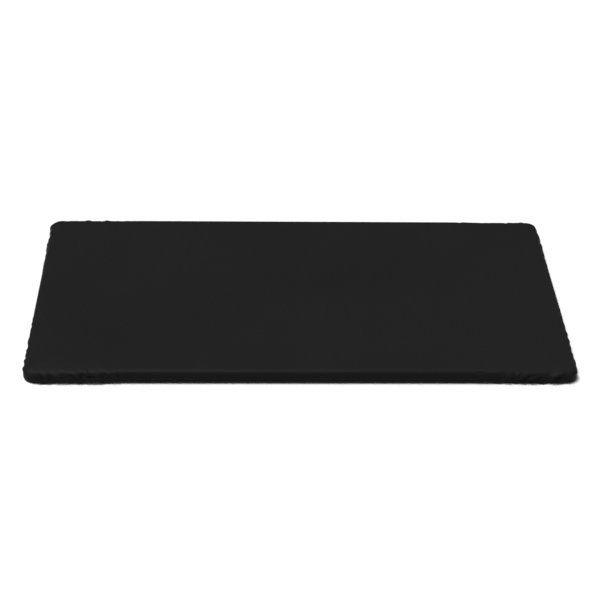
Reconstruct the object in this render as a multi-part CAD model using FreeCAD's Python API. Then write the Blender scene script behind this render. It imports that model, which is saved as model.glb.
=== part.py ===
"""Wall punch pad: a long, thin striking pad that hangs flat against a wall.

A plywood board carries a firm base foam and a softer striking foam. One sheet of coated vinyl is
pulled over the stack, turned under the board as a hem and stapled there, with its corners pleated.
Four keyhole hangers are screwed flush into pockets in the back of the board. They drop over the
heads of four wall screws.

Frame: the pad lies on its back. X runs along the pad and points up when it hangs, Y runs across it,
and Z points out of the striking face. The origin is the middle of the back plane.
"""

import FreeCAD
import Part

import math
import os

Vector = FreeCAD.Vector
UP = Vector(0, 0, 1)

# ---- Driving dimensions, in millimetres and degrees ------------------------------------------

# Finished pad, cover included
PAD_LENGTH = 1220.0
PAD_WIDTH = 610.0

# Layers, from the wall outwards. The cover is the same sheet behind and in front.
COVER_THICKNESS = 1.0
BOARD_THICKNESS = 11.0
BASE_FOAM_THICKNESS = 6.0
STRIKE_FOAM_THICKNESS = 12.0

# Outline of the board and of both foams
BOARD_CORNER_RADIUS = 24.0
BOARD_BACK_EDGE_RADIUS = 2.0
STRIKE_EDGE_RADIUS = 10.0
LEAST_STRAIGHT_WALL = 1.0  # of a foam's side, below its rounded edge

# Hem: the cover turned under the board, measured in from the pad's outside
HEM_WIDTH = 42.0
HEM_CORNER_RADIUS = 6.0

# Upholstery staple, driven until its crown lies in a groove of its own in the vinyl
STAPLE_CROWN = 10.0
STAPLE_LEG = 8.0
STAPLE_WIRE_WIDTH = 1.0
STAPLE_WIRE_THICKNESS = 0.5
STAPLE_OUTER_BEND = 0.8
STAPLE_POINT = 1.0  # length of the chisel point on each leg
STAPLE_SINK = 0.1  # of the crown's face below the vinyl's

# Where the staples go, from the pad's outside
STAPLE_INSET = 24.0
STAPLE_PITCH = 30.0
STAPLE_RUN_START = 72.0  # first staple of a straight run, from the pad's end
STAPLE_WOBBLE = 5.0  # a hand-held gun turns each staple by up to this many degrees
STAPLE_WANDER = 1.2  # and lets the row wander by this much
PLEAT_STAPLE_STEP = 14.0  # between the two staples on a corner's diagonal
PLEAT_FLANK = 46.0  # from the pad's end to the staple beside the pleat

# Keyhole hanger: a steel plate, flush with the board's back
HANGER_END_DISTANCE = 152.8  # from the pad's end to the hanger's centre
HANGER_SIDE_DISTANCE = 101.8  # from the pad's side to the hanger's centre
HANGER_LENGTH = 50.0
HANGER_WIDTH = 20.0
HANGER_THICKNESS = 2.0
HANGER_CORNER_RADIUS = 5.0
HANGER_EDGE_CHAMFER = 0.3
HANGER_POCKET_CLEARANCE = 0.3
KEYHOLE_ENTRY_RADIUS = 5.0
KEYHOLE_SLOT_WIDTH = 5.0
KEYHOLE_TRAVEL = 12.0  # from the entry's centre to the slot's end centre

# Pocket in the board behind the keyhole, where the wall screw's head travels
HEAD_POCKET_CLEARANCE = 0.5  # around the entry hole
POCKET_FLOOR = 4.0  # wood left between the pocket and the foam

# Hanger screws: countersunk, cross recessed
SCREW_SPACING = 38.0
SCREW_DIAMETER = 3.5
SCREW_ROOT_DIAMETER = 2.4
SCREW_HEAD_DIAMETER = 7.0
SCREW_HEAD_RIM = 0.3
SCREW_THREAD_PITCH = 1.3
SCREW_POINT = 2.0
SCREW_HEAD_SINK = 0.1  # below the plate's face
SCREW_TIP_COVER = 1.4  # wood left over the tip
SCREW_HOLE_CLEARANCE = 0.25  # in the plate, on the radius
PILOT_CLEARANCE = 0.05  # in the board, on the radius
RECESS_DEPTH = 1.5
RECESS_SPAN = 3.8
RECESS_WIDTH = 0.9

# ---- Sizes that follow from them -------------------------------------------------------------

BOARD_BACK = COVER_THICKNESS
BOARD_FRONT = BOARD_BACK + BOARD_THICKNESS
BASE_FOAM_FRONT = BOARD_FRONT + BASE_FOAM_THICKNESS
STRIKE_FOAM_FRONT = BASE_FOAM_FRONT + STRIKE_FOAM_THICKNESS
PAD_THICKNESS = STRIKE_FOAM_FRONT + COVER_THICKNESS

BOARD_LENGTH = PAD_LENGTH - 2 * COVER_THICKNESS
BOARD_WIDTH = PAD_WIDTH - 2 * COVER_THICKNESS
STRIKE_ROUNDING = min(STRIKE_EDGE_RADIUS, STRIKE_FOAM_THICKNESS - LEAST_STRAIGHT_WALL)

HANGER_X = PAD_LENGTH / 2 - HANGER_END_DISTANCE
HANGER_Y = PAD_WIDTH / 2 - HANGER_SIDE_DISTANCE
HANGERS = {
    "upper_front": (HANGER_X, -HANGER_Y),
    "upper_rear": (HANGER_X, HANGER_Y),
    "lower_front": (-HANGER_X, -HANGER_Y),
    "lower_rear": (-HANGER_X, HANGER_Y),
}
HANGER_FRONT = BOARD_BACK + HANGER_THICKNESS
HEAD_POCKET_RADIUS = KEYHOLE_ENTRY_RADIUS + HEAD_POCKET_CLEARANCE
SCREW_LENGTH = BOARD_THICKNESS - SCREW_HEAD_SINK - SCREW_TIP_COVER
SCREW_TURN_STEP = 37.0  # each recess stops at its own angle

EPSILON = 1.0  # how far a cutting tool runs past the face that it opens


# ---- Shared shapes ---------------------------------------------------------------------------


def edges_where(shape, test):
    return [edge for edge in shape.Edges if test(edge)]


def is_vertical(edge):
    box = edge.BoundBox
    return box.ZLength > 1e-6 and box.XLength < 1e-6 and box.YLength < 1e-6


def lies_at(edge, height):
    box = edge.BoundBox
    return abs(box.ZMin - height) < 1e-6 and abs(box.ZMax - height) < 1e-6


def slab(length, width, low, high, corner_radius, low_radius=0.0, high_radius=0.0):
    """A centred plate between two heights, with rounded corners and, if asked, rounded rims."""
    shape = Part.makeBox(length, width, high - low, Vector(-length / 2, -width / 2, low))
    shape = shape.makeFillet(corner_radius, edges_where(shape, is_vertical))
    for radius, height in ((low_radius, low), (high_radius, high)):
        if radius:
            rim = edges_where(shape, lambda edge: lies_at(edge, height))
            shape = shape.makeFillet(radius, rim)
    return shape


def round_slot(start_x, end_x, radius, low, high):
    """A solid slot along X, centred on Y, with a half-round end about each end point."""
    middle = Part.makeBox(end_x - start_x, 2 * radius, high - low, Vector(start_x, -radius, low))
    ends = [Part.makeCylinder(radius, high - low, Vector(x, 0, low)) for x in (start_x, end_x)]
    return middle.fuse(ends).removeSplitter()


def placed(shape, x, y, turn=0.0):
    copy = shape.copy()
    copy.rotate(Vector(0, 0, 0), UP, turn)
    copy.translate(Vector(x, y, 0))
    return copy


# ---- Foams and board -------------------------------------------------------------------------


def make_base_foam():
    return slab(BOARD_LENGTH, BOARD_WIDTH, BOARD_FRONT, BASE_FOAM_FRONT, BOARD_CORNER_RADIUS)


def make_strike_foam():
    return slab(
        BOARD_LENGTH,
        BOARD_WIDTH,
        BASE_FOAM_FRONT,
        STRIKE_FOAM_FRONT,
        BOARD_CORNER_RADIUS,
        high_radius=STRIKE_ROUNDING,
    )


def make_board(staple_seats):
    board = slab(
        BOARD_LENGTH,
        BOARD_WIDTH,
        BOARD_BACK,
        BOARD_FRONT,
        BOARD_CORNER_RADIUS,
        low_radius=BOARD_BACK_EDGE_RADIUS,
    )
    pocket = hanger_pocket()
    pockets = [placed(pocket, x, y) for x, y in HANGERS.values()]
    return board.cut(pockets).cut(staple_seats)


def hanger_pocket():
    """What is routed and drilled out of the board for one hanger."""
    plate_seat = slab(
        HANGER_LENGTH + 2 * HANGER_POCKET_CLEARANCE,
        HANGER_WIDTH + 2 * HANGER_POCKET_CLEARANCE,
        BOARD_BACK - EPSILON,
        HANGER_FRONT,
        HANGER_CORNER_RADIUS + HANGER_POCKET_CLEARANCE,
    )
    head_pocket = round_slot(
        -KEYHOLE_TRAVEL / 2,
        KEYHOLE_TRAVEL / 2,
        HEAD_POCKET_RADIUS,
        BOARD_BACK,
        BOARD_FRONT - POCKET_FLOOR,
    )
    radius = SCREW_DIAMETER / 2 + PILOT_CLEARANCE
    depth = BOARD_THICKNESS - SCREW_TIP_COVER + PILOT_CLEARANCE
    pilots = [Part.makeCylinder(radius, depth, Vector(x, 0, BOARD_BACK)) for x in screw_offsets()]
    bites = [head_cone(x, radius) for x in screw_offsets()]
    return plate_seat.fuse([head_pocket] + pilots + bites)


# ---- Cover -----------------------------------------------------------------------------------


def make_cover(staple_seats):
    """One sheet of even thickness round the board and foams, open behind inside its hem."""
    outside = slab(
        PAD_LENGTH,
        PAD_WIDTH,
        0.0,
        PAD_THICKNESS,
        BOARD_CORNER_RADIUS + COVER_THICKNESS,
        BOARD_BACK_EDGE_RADIUS + COVER_THICKNESS,
        STRIKE_ROUNDING + COVER_THICKNESS,
    )
    inside = slab(
        BOARD_LENGTH,
        BOARD_WIDTH,
        BOARD_BACK,
        STRIKE_FOAM_FRONT,
        BOARD_CORNER_RADIUS,
        BOARD_BACK_EDGE_RADIUS,
        STRIKE_ROUNDING,
    )
    opening = slab(
        PAD_LENGTH - 2 * HEM_WIDTH,
        PAD_WIDTH - 2 * HEM_WIDTH,
        -EPSILON,
        BOARD_BACK + EPSILON,
        HEM_CORNER_RADIUS,
    )
    return outside.cut([inside, opening]).cut(staple_seats)


# ---- Staples ---------------------------------------------------------------------------------


def arc(centre_x, centre_z, radius, start, end):
    """A circular arc in the XZ plane, from one angle to another in degrees from +X towards +Z."""

    def point(angle):
        turn = math.radians(angle)
        return Vector(centre_x + radius * math.cos(turn), 0, centre_z + radius * math.sin(turn))

    return Part.Arc(point(start), point((start + end) / 2), point(end)).toShape()


def make_staple():
    """One staple with its crown along X and its legs up, centred on the origin."""
    half = STAPLE_CROWN / 2
    wire = STAPLE_WIRE_THICKNESS
    bend = STAPLE_OUTER_BEND
    inner_bend = bend - wire
    base, tip = STAPLE_SINK, STAPLE_SINK + STAPLE_LEG

    def line(x0, z0, x1, z1):
        return Part.LineSegment(Vector(x0, 0, z0), Vector(x1, 0, z1)).toShape()

    outline = [
        line(-half + bend, base, half - bend, base),
        arc(half - bend, base + bend, bend, -90, 0),
        line(half, base + bend, half, tip),
        line(half, tip, half - wire, tip - STAPLE_POINT),
        line(half - wire, tip - STAPLE_POINT, half - wire, base + bend),
        arc(half - bend, base + bend, inner_bend, 0, -90),
        line(half - bend, base + wire, -half + bend, base + wire),
        arc(-half + bend, base + bend, inner_bend, 270, 180),
        line(-half + wire, base + bend, -half + wire, tip - STAPLE_POINT),
        line(-half + wire, tip - STAPLE_POINT, -half, tip),
        line(-half, tip, -half, base + bend),
        arc(-half + bend, base + bend, bend, 180, 270),
    ]
    face = Part.Face(Part.Wire(outline))
    face.translate(Vector(0, -STAPLE_WIRE_WIDTH / 2, 0))
    return face.extrude(Vector(0, STAPLE_WIRE_WIDTH, 0))


def make_staple_seat():
    """The groove and the two leg holes that one staple makes."""
    depth = STAPLE_SINK + STAPLE_OUTER_BEND
    corner = Vector(-STAPLE_CROWN / 2, -STAPLE_WIRE_WIDTH / 2, -EPSILON)
    groove = Part.makeBox(STAPLE_CROWN, STAPLE_WIRE_WIDTH, depth + EPSILON, corner)
    return make_staple().fuse(groove).removeSplitter()


def staple_run(pad_side):
    """Places along one straight run, centred on its middle, for a side of this length."""
    span = pad_side - 2 * STAPLE_RUN_START
    gaps = math.ceil(span / STAPLE_PITCH)
    return [-span / 2 + span * i / gaps for i in range(gaps + 1)]


def straight_staples(staple, pad_side, across, turn):
    """The staples of one straight hem, whose row lies this far across the pad."""
    made = []
    for i, along in enumerate(staple_run(pad_side)):
        wobble = STAPLE_WOBBLE * math.sin(2.4 * i + turn)
        wander = STAPLE_WANDER * math.sin(1.7 * i + turn)
        made.append(placed(placed(staple, along, across + wander), 0, 0, turn))
        made[-1].rotate(made[-1].BoundBox.Center, UP, wobble)
    return made


def pleat_staples(staple, sign_x, sign_y):
    """The four staples that hold one pleated corner, with the row's own inset from both sides."""
    end_x, end_y = PAD_LENGTH / 2, PAD_WIDTH / 2
    radius = BOARD_CORNER_RADIUS + COVER_THICKNESS
    diagonal = math.cos(math.radians(45))
    places = [
        (end_x - PLEAT_FLANK, end_y - STAPLE_INSET, 0.0),
        (end_x - STAPLE_INSET, end_y - PLEAT_FLANK, 90.0),
    ]
    for inset in (STAPLE_INSET, STAPLE_INSET + PLEAT_STAPLE_STEP):
        reach = (radius - inset) * diagonal - radius
        places.append((end_x + reach, end_y + reach, -45.0 * sign_x * sign_y))
    return [placed(staple, sign_x * x, sign_y * y, turn) for x, y, turn in places]


def place_staples(staple):
    """A copy for every place, grouped by the stretch of hem that it holds."""
    side = PAD_WIDTH / 2 - STAPLE_INSET
    end = PAD_LENGTH / 2 - STAPLE_INSET
    return {
        "staples_front_hem": straight_staples(staple, PAD_LENGTH, -side, 0.0),
        "staples_rear_hem": straight_staples(staple, PAD_LENGTH, -side, 180.0),
        "staples_right_hem": straight_staples(staple, PAD_WIDTH, -end, 90.0),
        "staples_left_hem": straight_staples(staple, PAD_WIDTH, -end, 270.0),
        "staples_front_left_pleat": pleat_staples(staple, -1, -1),
        "staples_front_right_pleat": pleat_staples(staple, 1, -1),
        "staples_rear_left_pleat": pleat_staples(staple, -1, 1),
        "staples_rear_right_pleat": pleat_staples(staple, 1, 1),
    }


# ---- Hangers and their screws ----------------------------------------------------------------


def screw_offsets():
    return (-SCREW_SPACING / 2, SCREW_SPACING / 2)


def make_hanger():
    """One keyhole plate, centred on its own middle, with the slot running up from the entry."""
    plate = slab(HANGER_LENGTH, HANGER_WIDTH, BOARD_BACK, HANGER_FRONT, HANGER_CORNER_RADIUS)
    rim = edges_where(plate, lambda edge: lies_at(edge, BOARD_BACK))
    plate = plate.makeChamfer(HANGER_EDGE_CHAMFER, rim)
    low, high = BOARD_BACK - EPSILON, HANGER_FRONT + EPSILON
    entry_x, slot_end_x = -KEYHOLE_TRAVEL / 2, KEYHOLE_TRAVEL / 2
    entry = Part.makeCylinder(KEYHOLE_ENTRY_RADIUS, high - low, Vector(entry_x, 0, low))
    slot = round_slot(entry_x, slot_end_x, KEYHOLE_SLOT_WIDTH / 2, low, high)
    return plate.cut([entry, slot] + [countersink(x) for x in screw_offsets()])


def head_cone(x, end_radius):
    """The cone that a screw's head seats in, narrowing until it meets a hole of this radius."""
    mouth_radius = SCREW_HEAD_DIAMETER / 2
    rim = Vector(x, 0, BOARD_BACK + SCREW_HEAD_SINK + SCREW_HEAD_RIM)
    return Part.makeCone(mouth_radius, end_radius, mouth_radius - end_radius, rim)


def countersink(x):
    """What one screw takes out of the plate: mouth, cone and clearance hole."""
    hole_radius = SCREW_DIAMETER / 2 + SCREW_HOLE_CLEARANCE
    mouth_depth = EPSILON + SCREW_HEAD_SINK + SCREW_HEAD_RIM
    face = Vector(x, 0, BOARD_BACK - EPSILON)
    mouth = Part.makeCylinder(SCREW_HEAD_DIAMETER / 2, mouth_depth, face)
    hole = Part.makeCylinder(hole_radius, HANGER_THICKNESS + 2 * EPSILON, face)
    return mouth.fuse([head_cone(x, hole_radius), hole])


def make_screw():
    """One countersunk screw on the Z axis, with its head at the plate's face and its tip up."""
    head, shank, root = SCREW_HEAD_DIAMETER / 2, SCREW_DIAMETER / 2, SCREW_ROOT_DIAMETER / 2
    neck = SCREW_HEAD_RIM + head - shank
    profile = [(0.0, 0.0), (head, 0.0), (head, SCREW_HEAD_RIM), (shank, neck)]
    ridges = int((SCREW_LENGTH - SCREW_POINT - neck) / SCREW_THREAD_PITCH)
    for i in range(ridges):
        groove = neck + (i + 0.5) * SCREW_THREAD_PITCH
        profile += [(root, groove), (shank, groove + SCREW_THREAD_PITCH / 2)]
    profile += [(root, SCREW_LENGTH - SCREW_POINT), (0.0, SCREW_LENGTH)]
    wire = Part.makePolygon([Vector(radius, 0, z) for radius, z in profile + profile[:1]])
    screw = Part.Face(wire).revolve(Vector(0, 0, 0), UP, 360)
    for size in ((RECESS_SPAN, RECESS_WIDTH), (RECESS_WIDTH, RECESS_SPAN)):
        screw = screw.cut(recess_wing(*size))
    screw.translate(Vector(0, 0, BOARD_BACK + SCREW_HEAD_SINK))
    return screw


def recess_wing(length, width):
    """One wing of the cross recess, narrowing to half its size at the bottom."""

    def rectangle(share, z):
        x, y = share * length / 2, share * width / 2
        corners = [Vector(-x, -y, z), Vector(x, -y, z), Vector(x, y, z), Vector(-x, y, z)]
        return Part.makePolygon(corners + corners[:1])

    return Part.makeLoft([rectangle(1.0, 0.0), rectangle(0.5, RECESS_DEPTH)], True, True)


def make_hangers():
    plate = make_hanger()
    return {f"hanger_{name}": [placed(plate, x, y)] for name, (x, y) in HANGERS.items()}


def make_screws():
    screw = make_screw()
    made = {}
    for i, (name, (x, y)) in enumerate(HANGERS.items()):
        made[f"screws_{name}"] = [
            placed(screw, x + offset, y, SCREW_TURN_STEP * (2 * i + j))
            for j, offset in enumerate(screw_offsets())
        ]
    return made


# ---- Assembly --------------------------------------------------------------------------------


def main():
    staple_seats = [seat for row in place_staples(make_staple_seat()).values() for seat in row]
    nodes = {
        "backing_board": [make_board(staple_seats)],
        "base_foam": [make_base_foam()],
        "strike_foam": [make_strike_foam()],
        "cover": [make_cover(staple_seats)],
        **make_hangers(),
        **make_screws(),
        **place_staples(make_staple()),
    }
    os.makedirs("parts", exist_ok=True)
    for name, solids in nodes.items():
        shape = solids[0] if len(solids) == 1 else Part.makeCompound(solids)
        shape.exportStep(f"parts/{name}.step")
        print(f"{name}: {len(shape.Solids)} solids, valid {shape.isValid()}, {shape.Volume:.0f} mm3")
    print(f"pad thickness {PAD_THICKNESS:.1f} mm")


main()
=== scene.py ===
import math

import bpy
import numpy as np
from mathutils import Matrix, Vector


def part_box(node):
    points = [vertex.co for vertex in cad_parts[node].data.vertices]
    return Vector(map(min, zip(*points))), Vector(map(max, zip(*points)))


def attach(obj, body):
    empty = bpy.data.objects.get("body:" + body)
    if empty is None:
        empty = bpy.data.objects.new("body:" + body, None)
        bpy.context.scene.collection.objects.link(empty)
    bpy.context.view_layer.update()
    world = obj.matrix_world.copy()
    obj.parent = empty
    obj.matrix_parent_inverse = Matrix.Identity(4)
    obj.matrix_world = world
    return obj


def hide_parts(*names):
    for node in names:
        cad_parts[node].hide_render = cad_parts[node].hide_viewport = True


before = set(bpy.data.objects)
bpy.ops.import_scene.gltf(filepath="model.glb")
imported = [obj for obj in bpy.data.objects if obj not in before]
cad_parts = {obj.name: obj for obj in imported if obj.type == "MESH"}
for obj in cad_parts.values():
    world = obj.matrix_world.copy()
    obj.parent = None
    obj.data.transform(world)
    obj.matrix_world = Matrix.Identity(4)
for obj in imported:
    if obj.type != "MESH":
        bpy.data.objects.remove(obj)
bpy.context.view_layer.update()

MM = 0.001
SEED = 41  # for every random draw

# The pad's own sizes, from the CAD
PAD_LOW, PAD_HIGH = (np.array(corner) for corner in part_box("cover"))
HALF_LENGTH = (PAD_HIGH[0] - PAD_LOW[0]) / 2
HALF_WIDTH = (PAD_HIGH[1] - PAD_LOW[1]) / 2
PAD_TOP = PAD_HIGH[2]
BOARD_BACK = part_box("backing_board")[0][2]
BOARD_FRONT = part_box("backing_board")[1][2]
BASE_FOAM_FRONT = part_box("base_foam")[1][2]

CORNER_RADIUS = 25 * MM
VINYL_THICKNESS = 0.95 * MM
FOAM_CLEARANCE = 0.4 * MM
FOAM_GAP = VINYL_THICKNESS + FOAM_CLEARANCE  # from the cover's outer skin to the foam
LAYER_GAP = 0.05 * MM  # each side of the plane where two layers meet

HEM_WIDTH = 42 * MM
HEM_CORNER_RADIUS = 6 * MM
HEM_EDGE_ROUNDING = 3 * MM
INNER_SKIN_START = 25 * MM
INNER_SKIN_GAP = 0.03 * MM  # between the hem's inner skin and the board
RAGGED_EDGE = 0.35 * MM
RAGGED_WAVES = 9

# Folds go under the hem as far as the first pair of insets, and open again past the second
FOLDS_CLOSE = (9 * MM, 19 * MM)
FOLDS_OPEN = (27 * MM, 33 * MM)
OPEN_FOLD_SHARE = 0.45  # of their droop at the pad's edge

STAPLED_HEM = 0.45 * MM  # height of the hem's skin where staples press it to the board
STAPLE_PRESS = 8 * MM  # how far round itself a staple presses the hem flat
STAPLE_HOLD = 5 * MM  # how far round itself a staple holds the sheet still

# The tight cover squeezes the foam's edge into a quarter ellipse, deeper than it is wide
EDGE_DEPTH = 10 * MM
EDGE_HEIGHT = 11 * MM
EDGE_LENGTH = 16.5 * MM  # along the quarter ellipse
WALL_HEIGHT = PAD_TOP - EDGE_HEIGHT
FACE_INSET = 42 * MM  # where the perimeter band ends and the face's grid begins
SPREAD_START = 1.5 * MM  # where rings start to spread from the outline to the grid or the hem's edge

# Gathers reach this far from each corner
GATHER_REACH = 225 * MM
GATHER_STEP = 2.9 * MM
OPEN_STEP = 17 * MM
DEEPEST_DENT = 3.0 * MM  # that the foam gives
DEEPEST_LAID_DENT = 0.95 * DEEPEST_DENT  # before the cloth run
STRIP_REACH = 1.08 * GATHER_REACH  # of the cloth run's strips, from the corners
HELD_PAST = 1.02 * GATHER_REACH  # from here on, a strip is held still
HIGHEST_FOLD = 4.0 * MM
LOWEST_DROOP = 2.0 * MM

# How far the face's edge is drawn down beside the front and rear corners
FRONT_SAG = 3.6 * MM
REAR_SAG = 1.0 * MM
SAG_REACH = (70 * MM, 230 * MM)  # it fades out between these distances from the corner
SAG_WIDTH = (4 * MM, 48 * MM)  # and between these insets

# Slow waves of the face: height in mm, rates along X and Y in radians a metre, and phase
FACE_WAVES = ((0.30, 7.3, 2.1, 0.6), (0.22, -4.1, 11.7, 2.0), (0.12, 19.0, -8.5, 4.4))
FACE_SINK = 0.35  # mm that the waves are lowered by

FOAM_PRESSURE = 1.5
RELAX_FRAMES = 20

CAMERA_PLACE = (-0.1202, -2.7134, 1.9815)
CAMERA_PITCH, CAMERA_YAW, CAMERA_ROLL = (math.radians(angle) for angle in (36.069, -2.619, 1.683))
CAMERA_LENS = 85.28  # mm, on a sensor 36 mm wide


def smooth(value, start, end):
    t = np.clip((value - start) / (end - start), 0, 1)
    return t * t * (3 - 2 * t)


# ---- Outline ---------------------------------------------------------------------------------


def stations(half_path, fine_step, coarse_step, fine_reach):
    """Places from 0, a side's middle, to half_path, its corner's diagonal, closest near the corner."""
    places = [0.0]
    while places[-1] < half_path:
        share = smooth(places[-1], fine_reach, half_path)
        places.append(places[-1] + fine_step + (coarse_step - fine_step) * share)
    places = np.array(places) * half_path / places[-1]
    return half_path - places[::-1]


class Outline:
    """The pad's rounded outline, walked anticlockwise from its front left corner."""

    def __init__(self, fine_step, coarse_step, fine_reach):
        arc = CORNER_RADIUS * math.pi / 4
        self.half = (HALF_LENGTH, HALF_WIDTH)
        self.path = [half - CORNER_RADIUS + arc for half in self.half]
        self.places = []
        for path in self.path:
            right = stations(path, fine_step, coarse_step, fine_reach)
            self.places.append(np.concatenate([-right[:0:-1], right]))
        sides = []
        for side in range(4):
            own = side % 2
            along = self.places[own][:-1]
            sides.append((np.full(len(along), side), along))
        self.side = np.concatenate([side for side, _ in sides])
        self.along = np.concatenate([along for _, along in sides])
        self.count = len(self.along)
        self.own_path = np.array([self.path[side % 2] for side in self.side])
        self.to_corner = self.own_path - np.abs(self.along)
        # Eight half sides, each with its own gathers
        self.half_side = self.side * 2 + (self.along > 0)

    def rounded(self, inset, radius):
        """Points and outward directions on the outline moved inwards by inset, with this radius."""
        half_own = np.array([self.half[side % 2] for side in self.side]) - inset
        half_other = np.array([self.half[1 - side % 2] for side in self.side]) - inset
        straight = half_own - radius
        total = straight + radius * math.pi / 4
        along = self.along * total / self.own_path
        turn = np.clip((np.abs(along) - straight) / max(radius, 1e-9), 0, math.pi / 4)
        reach = np.where(turn > 0, straight + radius * np.sin(turn), np.abs(along))
        out = half_other - radius * (1 - np.cos(turn))
        sign = np.sign(along)
        return self.turned(sign * reach, out), self.turned(sign * np.sin(turn), np.cos(turn))

    def turned(self, along, out):
        """Side coordinates to the pad's X and Y."""
        ax = np.array([1, 0, -1, 0])[self.side]
        ay = np.array([0, 1, 0, -1])[self.side]
        return np.stack([ax * along + ay * out, ay * along - ax * out], axis=1)

    def grid_lines(self, own, inset):
        """Where the face's grid lines lie, so that their ends meet the band's stations."""
        places = self.places[own]
        return places / self.path[own] * (self.half[own] - inset)

    def grid_edge(self, inset):
        scale = np.array([self.half[side % 2] - inset for side in self.side]) / self.own_path
        out = np.array([self.half[1 - side % 2] for side in self.side]) - inset
        return self.turned(self.along * scale, out)


# ---- Gathers ---------------------------------------------------------------------------------


def foam_give(up):
    """Behind the side's lower part is the board, which doesn't give; the foam above it does."""
    return smooth(up, BOARD_FRONT - 1 * MM, BOARD_FRONT + 5 * MM)


class Gathers:
    """The folds that the stapled hem pulls into the cover near its corners.

    Places along a side are distances from its corner's diagonal, and places up it are from the hem.
    Half sides are numbered anticlockwise from the front's left half: 0 and 1 are the front, 2 and 3
    the right end, 4 and 5 the rear, and 6 and 7 the left end.
    """

    # The front side's creases and drag lines, left end and right end. Each is place, height up the
    # side, half length and push in mm, and the slope in degrees of its line, rising to the corner.
    # A positive push leans the cover over, into a dark crease; a negative one makes a light ridge.
    FRONT_LINES = {
        0: (
            (24, 11, 12, 1.0, 35),
            (38, 7, 9, -0.9, 25),
            (43, 17, 8, 1.2, 62),
            (54, 13, 10, -1.1, 66),
            (67, 17, 10, 1.5, 50),
            (83, 19, 10, -0.9, 60),
            (88, 9, 14, 0.8, 12),
            (108, 22, 10, 1.5, 28),
            (122, 17, 9, -0.9, 66),
            (132, 23, 8, 1.1, 40),
            (146, 13, 14, -1.5, 8),
            (153, 7, 15, 1.0, 6),
            (168, 15, 9, -0.9, 72),
            (184, 22, 9, 1.4, 45),
            (203, 19, 8, -0.7, 66),
        ),
        1: (
            (13, 16, 10, 0.9, 20),
            (41, 8, 12, -1.6, 42),
            (50, 16, 14, 1.7, 24),
            (74, 6, 10, -1.3, 14),
            (80, 11, 9, -1.0, 66),
            (93, 13, 16, 1.7, 14),
            (111, 11, 15, -1.8, 33),
            (119, 15, 10, 1.6, 12),
            (135, 23, 8, -1.0, 70),
            (133, 5, 9, -1.2, 22),
            (149, 15, 13, 1.2, 24),
            (172, 6, 10, -0.7, 20),
            (217, 25, 8, 0.9, 150),
        ),
    }
    # How far the side's lower part leans out over the first 210 mm, in mm
    FRONT_LEAN = {0: 3.4, 1: 0.6, 2: 0.3, 7: 0.4}
    # The end sides are pulled smoother beside the front corners
    SIDE_STRENGTH = {2: 0.5, 7: 0.5}
    LEAN_TOP = (4 * MM, 30 * MM)  # the lean fades out between these places up the side
    LEAN_START = 35 * MM  # it is full from here
    LEAN_END = (150 * MM, 225 * MM)  # and fades out between these distances from the corner
    LINE_WIDTH = 3.5 * MM
    LINE_STRENGTH = 1.9
    FOLD_TOP = (27 * MM, 38 * MM)  # folds fade out between these places up the side
    CORNER_ARC = 26 * MM  # and towards the corner's diagonal from here
    RIPPLE_HEIGHT = 0.15 * MM
    RIPPLES = 7  # on each half side
    # Where folds go under the hem, in mm from the corner's diagonal
    HEM_FOLDS = {0: (20, 43, 60, 100, 122, 146, 170), 1: (53, 76, 99, 137, 152, 176, 187)}

    def __init__(self):
        random = np.random.default_rng(SEED)
        self.lines, self.hem_folds, self.ripples, self.lean = [], [], [], {}
        for half_side in range(8):
            strength = self.LINE_STRENGTH * self.SIDE_STRENGTH.get(half_side, 1.0)
            lines = self.FRONT_LINES.get(half_side) or self.random_lines(random)
            for place, rise, length, push, slope in lines:
                self.lines.append(
                    {
                        "half_side": half_side,
                        "place": place * MM,
                        "rise": rise * MM,
                        "length": length * MM,
                        "push": strength * push * MM,
                        "slope": math.radians(slope),
                        "width": self.LINE_WIDTH * random.uniform(0.8, 1.25),
                        "bend": random.uniform(-9, 9),
                    }
                )
            for place in self.HEM_FOLDS.get(half_side) or self.spaced(random, 12, 206, 13, 33):
                near = 0.3 + 0.7 * smooth(place, 0, 40) * (1 - smooth(place, 140, 225))
                fold = {"half_side": half_side, "place": place * MM}
                fold["droop"] = random.uniform(0.9, 2.1) * MM * near
                fold["bulge"] = random.uniform(4.5, 8.0) * MM
                self.hem_folds.append(fold)
            lean = random.uniform(0.4, 2.6)
            self.lean[half_side] = self.FRONT_LEAN.get(half_side, lean) * MM
            for _ in range(self.RIPPLES):
                self.ripples.append(
                    (half_side, random.uniform(50, 330), random.uniform(60, 300), random.uniform(0, 6.3))
                )

    def random_lines(self, random):
        """Lines like the front side's: mostly steep near the shoulder and shallow near the hem."""
        lines = []
        sign = 1
        for place in self.spaced(random, 20, 205, 9, 19):
            rise = random.uniform(5, 24)
            slope = random.uniform(8, 34) + 1.8 * max(rise - 10, 0)
            fade = 1 - 0.5 * smooth(place, 110, 210)
            lines.append((place, rise, random.uniform(8, 15), sign * random.uniform(0.8, 1.7) * fade, slope))
            sign = -sign if random.uniform(0, 1) < 0.8 else sign
        return lines

    @staticmethod
    def spaced(random, start, end, least, most):
        """Places from about start to end, each between least and most from the one before."""
        places = [random.uniform(0.5 * start, 1.5 * start)]
        while places[-1] + most < end:
            places.append(places[-1] + random.uniform(least, most))
        return places

    @staticmethod
    def from_corner(outline, half_side):
        """Distance from a half side's corner; negative round the corner, on the next side."""
        side, at_end = divmod(half_side, 2)
        partner = 2 * ((side + 1) % 4) if at_end else 2 * ((side + 3) % 4) + 1
        away = np.full(outline.count, 9.0)
        away = np.where(outline.half_side == half_side, outline.to_corner, away)
        return np.where(outline.half_side == partner, -outline.to_corner, away)

    def push(self, outline, up):
        """How far the cover stands out, this far up its side from the hem."""
        total = np.zeros(outline.count)
        for line in self.lines:
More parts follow.
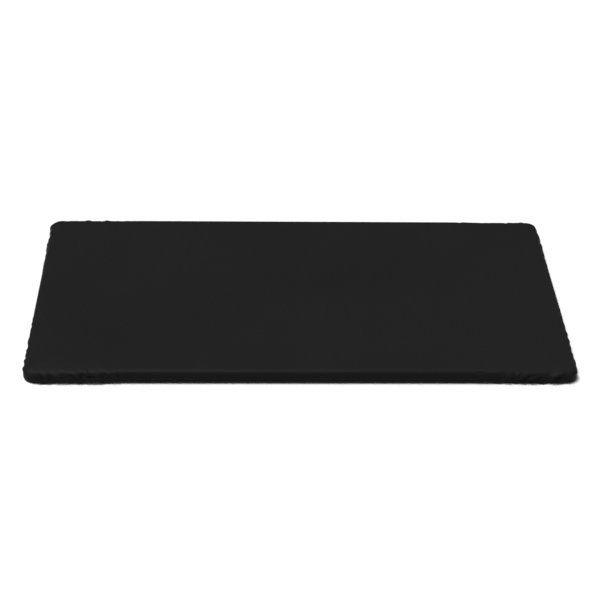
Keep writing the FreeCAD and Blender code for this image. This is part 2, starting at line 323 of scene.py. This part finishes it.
            # Along the line and across it, with a slight curve
            over = self.from_corner(outline, line["half_side"]) - line["place"]
            rise = up - line["rise"]
            cos, sin = math.cos(line["slope"]), math.sin(line["slope"])
            along = -over * cos + rise * sin
            across = (over * sin + rise * cos + line["bend"] * along**2) / line["width"]
            step = across * np.exp(0.5 - 0.5 * across**2)
            total += line["push"] * step * np.exp(-((along / line["length"]) ** 2))
        reach = 1 - smooth(outline.to_corner, 0.6 * GATHER_REACH, 1.1 * GATHER_REACH)
        for half_side, rate, climb, phase in self.ripples:
            mine = outline.half_side == half_side
            wave = np.sin(rate * outline.to_corner[mine] + climb * up + phase)
            total[mine] += self.RIPPLE_HEIGHT * wave * reach[mine]
        leaning = smooth(outline.to_corner, 0, self.LEAN_START)
        leaning = leaning * (1 - smooth(outline.to_corner, *self.LEAN_END))
        lean = np.array([self.lean[half_side] for half_side in outline.half_side])
        total += lean * leaning * (1 - smooth(up, *self.LEAN_TOP))
        total *= (1 - smooth(up, *self.FOLD_TOP)) * smooth(outline.to_corner, 0, self.CORNER_ARC)
        return np.where(total < 0, np.maximum(total, -DEEPEST_LAID_DENT) * foam_give(up), total)

    def droop(self, outline):
        """How far the hem's edge hangs below the board where a fold goes under it."""
        total = np.zeros(outline.count)
        for fold in self.hem_folds:
            u = (self.from_corner(outline, fold["half_side"]) - fold["place"]) / fold["bulge"]
            total = np.maximum(total, fold["droop"] * np.exp(-u * u))
        return total


gathers = Gathers()


def staple_places():
    """The middle of every staple seen from above, from the CAD nodes' separate pieces."""
    found = []
    for name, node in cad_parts.items():
        if not name.startswith("staples"):
            continue
        mesh = node.data
        points = np.array([v.co for v in mesh.vertices])
        group = np.arange(len(points))
        edges = np.array([e.vertices[:] for e in mesh.edges])
        changed = True
        while changed:
            low = np.minimum(group[edges[:, 0]], group[edges[:, 1]])
            new = group.copy()
            np.minimum.at(new, edges[:, 0], low)
            np.minimum.at(new, edges[:, 1], low)
            new = new[new]
            changed = bool((new != group).any())
            group = new
        for label in np.unique(group):
            found.append(points[group == label].mean(axis=0))
    return np.array(found)[:, :2]


# ---- Meshes ----------------------------------------------------------------------------------


def edge_point(turn, gap=0.0):
    """Inset and height on the rounded edge: turn is 90 degrees at the wall and 0 at the face."""
    across = EDGE_DEPTH - (EDGE_DEPTH - gap) * math.sin(turn)
    return across, WALL_HEIGHT + (EDGE_HEIGHT - gap) * math.cos(turn)


# Insets in mm of the hem's rings, from its raw edge out, and of those between the edge and the face
HEM_INSETS = (42, 38.5, 35, 32, 29, 26.5, 24, 21.5, 19, 16.5, 14, 11, 8, 5.2)
BORDER_INSETS = (15.5, 18.5, 22.5, 28, 35)
HEM_ROUNDING_ANGLES = (0, 22.5, 45, 67.5)
WALL_RINGS = 8
EDGE_RINGS = 13


def profile_rings():
    """Rings up the cover's outside, from the hem's raw edge to where the face begins.

    Each is inset, height, how far up from the hem it is, and its outward and upward direction. A
    ring of the hem has no height of its own.
    """
    rings = []
    for inset in HEM_INSETS:
        rings.append((inset * MM, None, 0.0, 0.0, 0.0))
    radius = HEM_EDGE_ROUNDING
    for angle in HEM_ROUNDING_ANGLES:
        turn = math.radians(angle)
        height = radius * (1 - math.cos(turn))
        rings.append((radius * (1 - math.sin(turn)), height, height, math.sin(turn), 0.0))
    for height in np.linspace(radius, WALL_HEIGHT, WALL_RINGS)[:-1]:
        rings.append((0.0, height, height, 1.0, 0.0))
    for angle in np.linspace(90, 0, EDGE_RINGS):
        turn = math.radians(angle)
        up = WALL_HEIGHT + EDGE_LENGTH * (1 - angle / 90)
        rings.append((*edge_point(turn), up, math.sin(turn), math.cos(turn)))
    for inset in BORDER_INSETS:
        up = WALL_HEIGHT + EDGE_LENGTH + inset * MM - EDGE_DEPTH
        rings.append((inset * MM, PAD_TOP, up, 0.0, 1.0))
    return rings


def hem_height(inset):
    """The hem lies on the floor at the pad's edge and is pressed up to the board further in."""
    return STAPLED_HEM * smooth(inset, 13 * MM, 19 * MM)


def band_point(outline, inset):
    """Points on the perimeter band, spreading to the face's square-cornered grid as they go in."""
    outer, out = outline.rounded(0.0, CORNER_RADIUS)
    share = smooth(inset, SPREAD_START, FACE_INSET)
    return (outer - out * inset) * (1 - share) + outline.grid_edge(FACE_INSET) * share


def hem_point(outline, inset):
    """Points on the hem, whose raw edge has sharper corners than the pad."""
    outer, out = outline.rounded(0.0, CORNER_RADIUS)
    edge, _ = outline.rounded(HEM_WIDTH, HEM_CORNER_RADIUS)
    share = smooth(inset, SPREAD_START, HEM_WIDTH)
    return (outer - out * inset) * (1 - share) + edge * share


def stack_rings(rings, outline, grid):
    """Vertices and quads of the rings, closed by the face's grid, whose edge is the last ring."""
    count = outline.count
    vertices = np.concatenate(rings)
    index = np.arange(len(vertices)).reshape(len(rings), count)
    quads = []
    for low, high in zip(index[:-1], index[1:]):
        quads.append(np.stack([low, np.roll(low, -1), np.roll(high, -1), high], axis=1))
    columns, rows = len(outline.places[0]), len(outline.places[1])
    table = np.full((columns, rows), -1)
    last = index[-1]
    table[:-1, 0] = last[: columns - 1]
    table[-1, :-1] = last[columns - 1 : columns + rows - 2]
    table[:0:-1, -1] = last[columns + rows - 2 : 2 * columns + rows - 3]
    table[0, :0:-1] = last[2 * columns + rows - 3 :]
    table[1:-1, 1:-1] = len(vertices) + np.arange((columns - 2) * (rows - 2)).reshape(columns - 2, rows - 2)
    vertices = np.concatenate([vertices, grid[1:-1, 1:-1].reshape(-1, 3)])
    face = np.stack([table[:-1, :-1], table[1:, :-1], table[1:, 1:], table[:-1, 1:]], axis=-1)
    quads.append(face.reshape(-1, 4))
    return vertices, np.concatenate(quads)


def mesh_object(name, vertices, quads, materials, material_index=None):
    mesh = bpy.data.meshes.new(name)
    mesh.from_pydata(vertices.tolist(), [], quads.tolist())
    for material in materials:
        mesh.materials.append(material)
    if material_index is not None:
        mesh.polygons.foreach_set("material_index", material_index.astype(np.int32))
    mesh.polygons.foreach_set("use_smooth", np.ones(len(mesh.polygons), dtype=bool))
    mesh.update()
    made = bpy.data.objects.new(name, mesh)
    bpy.context.scene.collection.objects.link(made)
    return made


def face_grid(outline, height):
    """The flat grid of points inside the perimeter band."""
    x = outline.grid_lines(0, FACE_INSET)
    y = outline.grid_lines(1, FACE_INSET)
    grid = np.zeros((len(x), len(y), 3))
    grid[..., 0], grid[..., 1] = np.meshgrid(x, y, indexing="ij")
    grid[..., 2] = height
    return grid


def face_swell(points):
    """The face's own slow unevenness: foam never lies dead flat under a stretched cover."""
    x, y = points[:, 0], points[:, 1]
    waves = sum(height * np.sin(along * x + across * y + at) for height, along, across, at in FACE_WAVES)
    inset = np.minimum(HALF_LENGTH - np.abs(x), HALF_WIDTH - np.abs(y))
    return (waves - FACE_SINK) * MM * smooth(inset, 15 * MM, 80 * MM)


def corner_sag(points):
    """The pleated corners pull the cover hardest, and draw the face's edge down beside them."""
    x, y, z = points.T
    inset = np.minimum(HALF_LENGTH - np.abs(x), HALF_WIDTH - np.abs(y))
    away = np.hypot(HALF_LENGTH - np.abs(x), HALF_WIDTH - np.abs(y))
    pull = np.where(y < 0, FRONT_SAG, REAR_SAG) * (1 - smooth(away, *SAG_REACH))
    return -pull * (1 - smooth(inset, *SAG_WIDTH)) * smooth(z, BOARD_FRONT, PAD_TOP - 2 * MM)


def soften(vertices):
    """The face's swell and its sag at the corners, added to a cover's or a foam block's points."""
    vertices[:, 2] += face_swell(vertices) * (vertices[:, 2] > 0.8 * PAD_TOP)
    vertices[:, 2] += corner_sag(vertices)


def hem_raggedness(outline):
    """How far the hand-cut raw edge wanders in and out."""
    random = np.random.default_rng(SEED + 1)
    ragged = np.zeros(outline.count)
    for _ in range(RAGGED_WAVES):
        rate, phase = random.uniform(8, 90), random.uniform(0, 6.3)
        ragged += RAGGED_EDGE * np.sin(rate * (outline.along + 3 * outline.side) + phase)
    return ragged


def staple_gap(plan, staples):
    """How far each point, seen from above, is from the nearest staple."""
    return np.linalg.norm(plan[:, None, :] - staples[None, :, :], axis=2).min(axis=1)


def cover_rings(outline, fold):
    """The outer skin's rings, and which way is out at each point; fold 0 is smooth, 1 has its folds."""
    _, out = outline.rounded(0.0, CORNER_RADIUS)
    droop = gathers.droop(outline) * fold
    ragged = hem_raggedness(outline)
    staples = staple_places()
    rings, outwards = [], []
    for inset, height, up, outward, upward in profile_rings():
        if height is None:
            plan = hem_point(outline, inset)
            plan = plan - out * (ragged * smooth(inset, 30 * MM, HEM_WIDTH))[:, None]
            folded = 1 - smooth(inset, *FOLDS_CLOSE) + OPEN_FOLD_SHARE * smooth(inset, *FOLDS_OPEN)
            z = hem_height(inset) - droop * folded
            # Each staple presses the folds flat around itself
            pressed = np.exp(-((staple_gap(plan, staples) / STAPLE_PRESS) ** 2))
            z = z * (1 - pressed) + STAPLED_HEM * pressed
            outwards.append(np.tile([0.0, 0.0, -1.0], (outline.count, 1)))
        else:
            push = gathers.push(outline, up) * fold
            plan = band_point(outline, inset) + out * (push * outward)[:, None]
            z = height + push * upward - droop * (1 - smooth(height, 0.0, 9 * MM))
            outwards.append(np.column_stack([out * outward, np.full(outline.count, upward)]))
        rings.append(np.column_stack([plan, z]))
    return np.array(rings), np.array(outwards)


def corner_strip(outline, ring_count):
    """The band's quads near the corners, over points of their own, and which of the band's those are."""
    near = outline.to_corner < STRIP_REACH
    both = near & np.roll(near, -1)
    index = np.arange(ring_count * outline.count).reshape(ring_count, outline.count)
    quads = []
    for low, high in zip(index[:-1], index[1:]):
        loop = np.stack([low, np.roll(low, -1), np.roll(high, -1), high], axis=1)
        quads.append(loop[both])
    quads = np.concatenate(quads)
    used = np.unique(quads)
    renumber = np.full(index.size, -1)
    renumber[used] = np.arange(len(used))
    return renumber[quads], used


def settle_cloth(points, quads, held):
    """Where Blender's Cloth brings these points under the foam's pressure, with some of them held."""
    strip = mesh_object("gathered_band", points, quads, [])
    pins = strip.vertex_groups.new(name="held")
    pins.add(np.flatnonzero(held).tolist(), 1.0, "REPLACE")
    cloth = strip.modifiers.new("Cloth", "CLOTH")
    cloth.collision_settings.use_collision = False
    cloth.point_cache.frame_start = 1
    cloth.point_cache.frame_end = RELAX_FRAMES
    vinyl = cloth.settings
    vinyl.quality = 5
    vinyl.mass = 0.3
    vinyl.air_damping = 3.0
    vinyl.tension_stiffness = 15.0
    vinyl.compression_stiffness = 15.0
    vinyl.shear_stiffness = 5.0
    vinyl.bending_stiffness = 0.5
    vinyl.bending_damping = 1.0
    vinyl.vertex_group_mass = "held"
    vinyl.effector_weights.gravity = 0.0
    vinyl.use_pressure = True
    vinyl.uniform_pressure_force = FOAM_PRESSURE
    scene = bpy.context.scene
    scene.frame_start, scene.frame_end = 1, RELAX_FRAMES
    for frame_number in range(1, RELAX_FRAMES + 1):
        scene.frame_set(frame_number)
    evaluated = strip.evaluated_get(bpy.context.evaluated_depsgraph_get())
    settled = np.zeros(len(points) * 3)
    evaluated.data.vertices.foreach_get("co", settled)
    scene.frame_set(1)
    bpy.data.objects.remove(strip)
    return settled.reshape(-1, 3)


def relax_gathers(outline, rings, outwards, smooth_rings):
    """The rings after a run of Blender's Cloth on the band round each corner.

    The foam's pressure swells the sheet between its staples and draws the laid folds tight. How
    far a point may then stand from the smooth shape is capped.
    """
    quads, used = corner_strip(outline, len(rings))
    points = rings.reshape(-1, 3)[used]
    ring_of, station_of = np.divmod(used, outline.count)
    profile = profile_rings()
    up = np.array([ring[2] for ring in profile])[ring_of]
    inset = np.array([ring[0] for ring in profile])[ring_of]
    on_face = (inset > 14 * MM) & (up > WALL_HEIGHT)
    far = outline.to_corner[station_of] > HELD_PAST
    stapled = (up == 0) & (staple_gap(points[:, :2], staple_places()) < STAPLE_HOLD)
    settled = settle_cloth(points, quads, on_face | far | stapled)

    away = outwards.reshape(-1, 3)[used]
    stand = ((settled - smooth_rings.reshape(-1, 3)[used]) * away).sum(axis=1)
    deepest = np.where(up > 0, DEEPEST_DENT * foam_give(up), 0.0)
    highest = np.where(up > 0, HIGHEST_FOLD, LOWEST_DROOP)
    capped = np.clip(stand, -deepest, highest)
    settled = settled + away * (capped - stand)[:, None]
    settled[:, 2] = np.maximum(settled[:, 2], -LOWEST_DROOP)
    relaxed = rings.reshape(-1, 3).copy()
    relaxed[used] = settled
    return relaxed.reshape(rings.shape)


def make_cover(vinyl, backing):
    """The vinyl sheet: one outer skin from raw edge to raw edge, and an inner one under the hem."""
    outline = Outline(GATHER_STEP, OPEN_STEP, GATHER_REACH)
    rings, outwards = cover_rings(outline, 1.0)
    smooth_rings, _ = cover_rings(outline, 0.0)
    rings = relax_gathers(outline, rings, outwards, smooth_rings)
    edge = outline.grid_edge(FACE_INSET)
    rings = [*rings, np.column_stack([edge, np.full(outline.count, PAD_TOP)])]
    grid = face_grid(outline, PAD_TOP)
    vertices, quads = stack_rings(rings, outline, grid)
    soften(vertices)

    # Along the hem's raw edge, the sheet's inner skin lies against the board
    inner_rings = sum(1 for inset in HEM_INSETS if inset * MM > INNER_SKIN_START)
    inner = vertices[: inner_rings * outline.count].copy()
    inner[:, 2] = BOARD_BACK - INNER_SKIN_GAP
    count = len(vertices)
    raw = np.arange(outline.count)
    raw_edge = np.stack([np.roll(raw, -1), raw, raw + count, np.roll(raw, -1) + count], axis=1)
    inner_quads = quads[: (inner_rings - 1) * outline.count, ::-1] + count
    every = np.concatenate([quads, inner_quads, raw_edge])
    kind = np.concatenate([np.zeros(len(quads)), np.ones(len(inner_quads) + len(raw_edge))])
    cover = mesh_object("vinyl_cover", np.concatenate([vertices, inner]), every, [vinyl, backing], kind)
    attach(cover, "root")
    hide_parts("cover")
    return cover


# Insets in mm of a foam block's rings: on its back from its outline, and on its front from its edge
FOAM_BACK_INSETS = (36, 26, 16, 8, 3, 0.6)
FOAM_FRONT_INSETS = (1.5, 5, 10, 16, 22)


def make_foam(name, node, material, low, high):
    """A block of foam that keeps just clear of the cover and of its neighbours."""
    outline = Outline(9 * MM, 30 * MM, GATHER_REACH)
    _, out = outline.rounded(0.0, CORNER_RADIUS)
    rings = []

    # Near the corners the gathered cover squeezes the foam in by as much as its deepest dent
    squeeze = DEEPEST_DENT * (1 - smooth(outline.to_corner, GATHER_REACH, 1.15 * GATHER_REACH))

    def ring(inset, height, up, outward):
        push = -squeeze * foam_give(up)
        plan = band_point(outline, inset) + out * (push * outward)[:, None]
        z = np.maximum(height + push * (1 - outward), low)
        rings.append(np.column_stack([plan, z]))

    def flat_ring(inset, height):
        rings.append(np.column_stack([band_point(outline, inset), np.full(outline.count, height)]))

    def wall_inset(height):
        rise = np.clip((height - WALL_HEIGHT) / (EDGE_HEIGHT - FOAM_GAP), 0, 1)
        return EDGE_DEPTH - (EDGE_DEPTH - FOAM_GAP) * math.sqrt(1 - rise**2)

    for inset in FOAM_BACK_INSETS:
        flat_ring(FOAM_GAP + inset * MM, low)
    start = math.acos(np.clip((low - WALL_HEIGHT) / (EDGE_HEIGHT - FOAM_GAP), 0, 1))
    for height in np.linspace(low + 0.4 * MM, max(low + 0.5 * MM, min(high, WALL_HEIGHT)), 4):
        ring(wall_inset(height), height, height, 1.0)
    if high > WALL_HEIGHT:
        for turn in np.linspace(start, 0, 14)[1:]:
            inset, height = edge_point(turn, FOAM_GAP)
            if height < high:
                up = WALL_HEIGHT + EDGE_LENGTH * (1 - turn / (math.pi / 2))
                ring(inset, height, up, math.sin(turn))
    last = wall_inset(high)
    for inset in FOAM_FRONT_INSETS:
        flat_ring(last + inset * MM, high)
    edge = outline.grid_edge(FACE_INSET)
    rings.append(np.column_stack([edge, np.full(outline.count, high)]))
    rings.insert(0, np.column_stack([edge, np.full(outline.count, low)]))
    vertices, quads = stack_rings(rings, outline, face_grid(outline, high))
    soften(vertices)
    # The back is the same grid, turned over
    columns, rows = len(outline.places[0]), len(outline.places[1])
    back_vertices, back_quads = stack_rings([rings[0]], outline, face_grid(outline, low))
    back_quads = back_quads[:, ::-1]
    shift = np.where(np.arange(len(back_vertices)) < outline.count, 0, len(vertices) - outline.count)
    back_quads = back_quads + shift[back_quads]
    every = np.concatenate([quads, back_quads])
    foam = mesh_object(name, np.concatenate([vertices, back_vertices[outline.count :]]), every, [material])
    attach(foam, "root")
    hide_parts(node)
    return foam


# ---- Materials -------------------------------------------------------------------------------


class Nodes:
    """Short spelling for a material's node tree."""

    def __init__(self, name):
        self.material = bpy.data.materials.new(name)
        self.material.use_nodes = True
        self.tree = self.material.node_tree
        self.shader = self.tree.nodes["Principled BSDF"]
        self.coordinates = self.add("ShaderNodeTexCoord").outputs["Object"]

    def add(self, kind, links=(), **settings):
        node = self.tree.nodes.new(kind)
        for name, value in settings.items():
            if hasattr(node, name):
                setattr(node, name, value)
            else:
                node.inputs[name.replace("_", " ")].default_value = value
        for socket, source in dict(links).items():
            self.tree.links.new(source, node.inputs[socket])
        return node

    def set(self, **values):
        for name, value in values.items():
            self.shader.inputs[name.replace("_", " ")].default_value = value

    def link(self, socket, source):
        self.tree.links.new(source, self.shader.inputs[socket])

    def scaled(self, scale):
        return self.add("ShaderNodeMapping", {"Vector": self.coordinates}, Scale=scale).outputs["Vector"]

    def noise(self, scale, detail=2.0, roughness=0.5, vector=None, distortion=0.0):
        made = self.add(
            "ShaderNodeTexNoise",
            {"Vector": vector or self.coordinates},
            Scale=scale,
            Detail=detail,
            Roughness=roughness,
            Distortion=distortion,
        )
        return made.outputs["Fac"]

    def ramp(self, source, stops):
        made = self.add("ShaderNodeValToRGB", {"Fac": source})
        elements = made.color_ramp.elements
        while len(elements) < len(stops):
            elements.new(0.5)
        for element, (position, colour) in zip(elements, stops):
            element.position = position
            element.color = (*colour, 1.0)
        return made.outputs["Color"]

    def spread(self, source, low, high):
        made = self.add("ShaderNodeMapRange", {"Value": source})
        made.inputs["To Min"].default_value = low
        made.inputs["To Max"].default_value = high
        return made.outputs["Result"]

    def bump(self, source, depth, strength=1.0, under=None):
        links = {"Height": source}
        if under is not None:
            links["Normal"] = under
        made = self.add("ShaderNodeBump", links)
        made.inputs["Distance"].default_value = depth
        made.inputs["Strength"].default_value = strength
        return made.outputs["Normal"]


def vinyl_material():
    n = Nodes("black_vinyl")
    n.set(IOR=1.5, Specular_IOR_Level=0.04)
    tone = n.noise(3.0, detail=3.0)
    n.link("Base Color", n.ramp(tone, [(0.25, (0.0078, 0.0078, 0.0080)), (0.75, (0.0088, 0.0088, 0.0090))]))
    n.link("Roughness", n.spread(n.noise(22.0, detail=4.0), 0.50, 0.60))
    grain = n.add("ShaderNodeTexVoronoi", {"Vector": n.coordinates}, Scale=900.0).outputs["Distance"]
    pores = n.bump(grain, 0.00006, 0.35)
    n.link("Normal", n.bump(n.noise(160.0, detail=3.0), 0.0001, 0.35, under=pores))
    return n.material


def backing_material():
    n = Nodes("vinyl_backing_cloth")
    n.set(Roughness=0.92, Specular_IOR_Level=0.15, Sheen_Weight=0.2)
    weave = n.add("ShaderNodeTexWave", {"Vector": n.coordinates}, Scale=420.0, Distortion=1.5).outputs["Fac"]
    n.link("Base Color", n.ramp(weave, [(0.2, (0.16, 0.16, 0.155)), (0.8, (0.30, 0.30, 0.29))]))
    n.link("Normal", n.bump(weave, 0.0001, 0.6))
    return n.material


def soft_foam_material():
    n = Nodes("soft_foam")
    n.set(Roughness=0.95, Specular_IOR_Level=0.2, Subsurface_Weight=0.05)
    cells = n.add("ShaderNodeTexVoronoi", {"Vector": n.coordinates}, Scale=700.0).outputs["Distance"]
    n.link("Base Color", n.ramp(cells, [(0.1, (0.40, 0.38, 0.33)), (0.6, (0.66, 0.64, 0.57))]))
    n.link("Normal", n.bump(cells, 0.0004, 0.7))
    return n.material


def firm_foam_material():
    n = Nodes("firm_foam")
    n.set(Roughness=0.8, Specular_IOR_Level=0.3)
    cells = n.noise(900.0, detail=3.0)
    n.link("Base Color", n.ramp(cells, [(0.3, (0.045, 0.045, 0.048)), (0.7, (0.085, 0.085, 0.09))]))
    n.link("Normal", n.bump(cells, 0.00015, 0.5))
    return n.material


# Sockets of a Mix node that mixes colours
COLOUR_A, COLOUR_B, COLOUR_RESULT = 6, 7, 2

VENEERS = 5  # in the board's thickness


def plywood_material():
    n = Nodes("sanded_plywood")
    n.set(Specular_IOR_Level=0.3)
    warp = n.noise(1.0, detail=3.0, vector=n.scaled((1.6, 9.0, 1.0)))
    streaks = n.noise(1.0, detail=6.0, roughness=0.62, vector=n.scaled((4.0, 130.0, 40.0)), distortion=0.4)
    mixed = n.add("ShaderNodeMix", {"A": warp, "B": streaks}, data_type="FLOAT", Factor=0.55)
    mixed = mixed.outputs["Result"]
    tones = [(0.30, (0.36, 0.22, 0.11)), (0.48, (0.58, 0.40, 0.22)), (0.72, (0.72, 0.54, 0.33))]
    wood = n.ramp(mixed, tones)
    # Veneers show as bands on any cut edge: their grain turns through a right angle each time
    height = n.add("ShaderNodeSeparateXYZ", {"Vector": n.coordinates}).outputs["Z"]
    veneer = n.add("ShaderNodeMath", {0: height}, operation="MULTIPLY")
    veneer.inputs[1].default_value = VENEERS * math.pi / (BOARD_FRONT - BOARD_BACK)
    band = n.add("ShaderNodeMath", {0: veneer.outputs["Value"]}, operation="SINE").outputs["Value"]
    edge = n.ramp(n.spread(band, 0.0, 1.0), [(0.42, (0.30, 0.18, 0.09)), (0.58, (0.62, 0.45, 0.26))])
    normal = n.add("ShaderNodeNewGeometry").outputs["Normal"]
    up = n.add("ShaderNodeSeparateXYZ", {"Vector": normal}).outputs["Z"]
    flat = n.add("ShaderNodeMath", {0: up}, operation="ABSOLUTE").outputs["Value"]
    both = n.add("ShaderNodeMix", {"Factor": flat}, data_type="RGBA")
    n.tree.links.new(edge, both.inputs[COLOUR_A])
    n.tree.links.new(wood, both.inputs[COLOUR_B])
    n.link("Base Color", both.outputs[COLOUR_RESULT])
    n.link("Roughness", n.spread(streaks, 0.60, 0.82))
    n.link("Normal", n.bump(streaks, 0.00015, 0.5))
    return n.material


def metal_material(name, colour, roughness, blotch):
    n = Nodes(name)
    n.set(Metallic=1.0)
    patches = n.noise(blotch, detail=4.0)
    low, high = tuple(0.86 * c for c in colour), tuple(min(1.0, 1.08 * c) for c in colour)
    n.link("Base Color", n.ramp(patches, [(0.35, low), (0.65, high)]))
    n.link("Roughness", n.spread(n.noise(5 * blotch, detail=3.0), roughness - 0.08, roughness + 0.12))
    n.link("Normal", n.bump(n.noise(14 * blotch), 0.00002, 0.4))
    return n.material


def floor_material():
    n = Nodes("studio_floor")
    n.set(Roughness=0.9, Specular_IOR_Level=0.1)
    n.link("Base Color", n.ramp(n.noise(0.4), [(0.3, (0.65, 0.65, 0.65)), (0.7, (0.665, 0.665, 0.665))]))
    return n.material


def dress_nodes():
    """Procedural finishes for the CAD nodes that stay as they are."""
    finishes = {
        "backing_board": plywood_material(),
        "hanger": metal_material("zinc_plated_plate", (0.62, 0.63, 0.65), 0.34, 90.0),
        "screws": metal_material("zinc_plated_screw", (0.66, 0.64, 0.58), 0.30, 260.0),
        "staples": metal_material("galvanised_staple", (0.70, 0.70, 0.69), 0.36, 320.0),
    }
    for name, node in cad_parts.items():
        for start, material in finishes.items():
            if name.startswith(start):
                node.data.materials.clear()
                node.data.materials.append(material)


# ---- Stage -----------------------------------------------------------------------------------


def make_floor(height):
    bpy.ops.mesh.primitive_plane_add(size=60, location=(0, 0, height))
    floor = bpy.context.object
    floor.name = "studio_floor"
    floor.data.materials.append(floor_material())


def area_light(name, place, target, size, power):
    light = bpy.data.lights.new(name, "AREA")
    light.shape = "RECTANGLE"
    light.size, light.size_y = size
    light.energy = power
    made = bpy.data.objects.new(name, light)
    made.location = place
    made.rotation_euler = (Vector(target) - Vector(place)).to_track_quat("-Z", "Y").to_euler()
    bpy.context.scene.collection.objects.link(made)


def make_sun():
    sun = bpy.data.lights.new("high_diffused_light", "SUN")
    sun.energy = 4.75
    sun.angle = math.radians(26)
    high = bpy.data.objects.new("high_diffused_light", sun)
    high.rotation_euler = (math.radians(-2), math.radians(-16), 0)
    bpy.context.scene.collection.objects.link(high)


def make_backdrop():
    """A white studio backdrop, which lights the pad only softly."""
    world = bpy.data.worlds.new("studio")
    world.use_nodes = True
    tree = world.node_tree
    dim = tree.nodes["Background"]
    dim.inputs["Color"].default_value = (1.0, 1.0, 1.0, 1.0)
    dim.inputs["Strength"].default_value = 0.10
    white = tree.nodes.new("ShaderNodeBackground")
    white.inputs["Color"].default_value = (1.0, 1.0, 1.0, 1.0)
    seen = tree.nodes.new("ShaderNodeLightPath").outputs["Is Camera Ray"]
    both = tree.nodes.new("ShaderNodeMixShader")
    tree.links.new(seen, both.inputs["Fac"])
    tree.links.new(dim.outputs["Background"], both.inputs[1])
    tree.links.new(white.outputs["Background"], both.inputs[2])
    tree.links.new(both.outputs["Shader"], tree.nodes["World Output"].inputs["Surface"])
    bpy.context.scene.world = world


def make_studio():
    make_sun()
    area_light("front_left_softbox", (-2.2, -2.4, 1.3), (-0.4, 0, 0), (1.2, 1.0), 12)
    area_light("right_softbox", (3.4, 3.0, 2.6), (0.4, 0, 0), (2.4, 2.0), 24)
    make_backdrop()
    bpy.context.scene.view_settings.view_transform = "Standard"


def make_camera():
    camera = bpy.data.cameras.new("camera")
    camera.sensor_width = 36
    camera.lens = CAMERA_LENS
    camera.clip_end = 200
    made = bpy.data.objects.new("camera", camera)
    tilt = Matrix.Rotation(math.pi / 2 - CAMERA_PITCH, 4, "X")
    turn = Matrix.Rotation(CAMERA_YAW, 4, "Z") @ tilt @ Matrix.Rotation(CAMERA_ROLL, 4, "Z")
    made.matrix_world = Matrix.Translation(CAMERA_PLACE) @ turn
    bpy.context.scene.collection.objects.link(made)
    bpy.context.scene.camera = made


make_camera()
cover = make_cover(vinyl_material(), backing_material())
make_foam(
    "strike_foam_block",
    "strike_foam",
    soft_foam_material(),
    low=BASE_FOAM_FRONT + LAYER_GAP,
    high=PAD_TOP - VINYL_THICKNESS - FOAM_CLEARANCE,
)
make_foam(
    "base_foam_sheet",
    "base_foam",
    firm_foam_material(),
    low=BOARD_FRONT + LAYER_GAP,
    high=BASE_FOAM_FRONT - LAYER_GAP,
)
dress_nodes()
make_floor(min(vertex.co.z for vertex in cover.data.vertices))
make_studio()
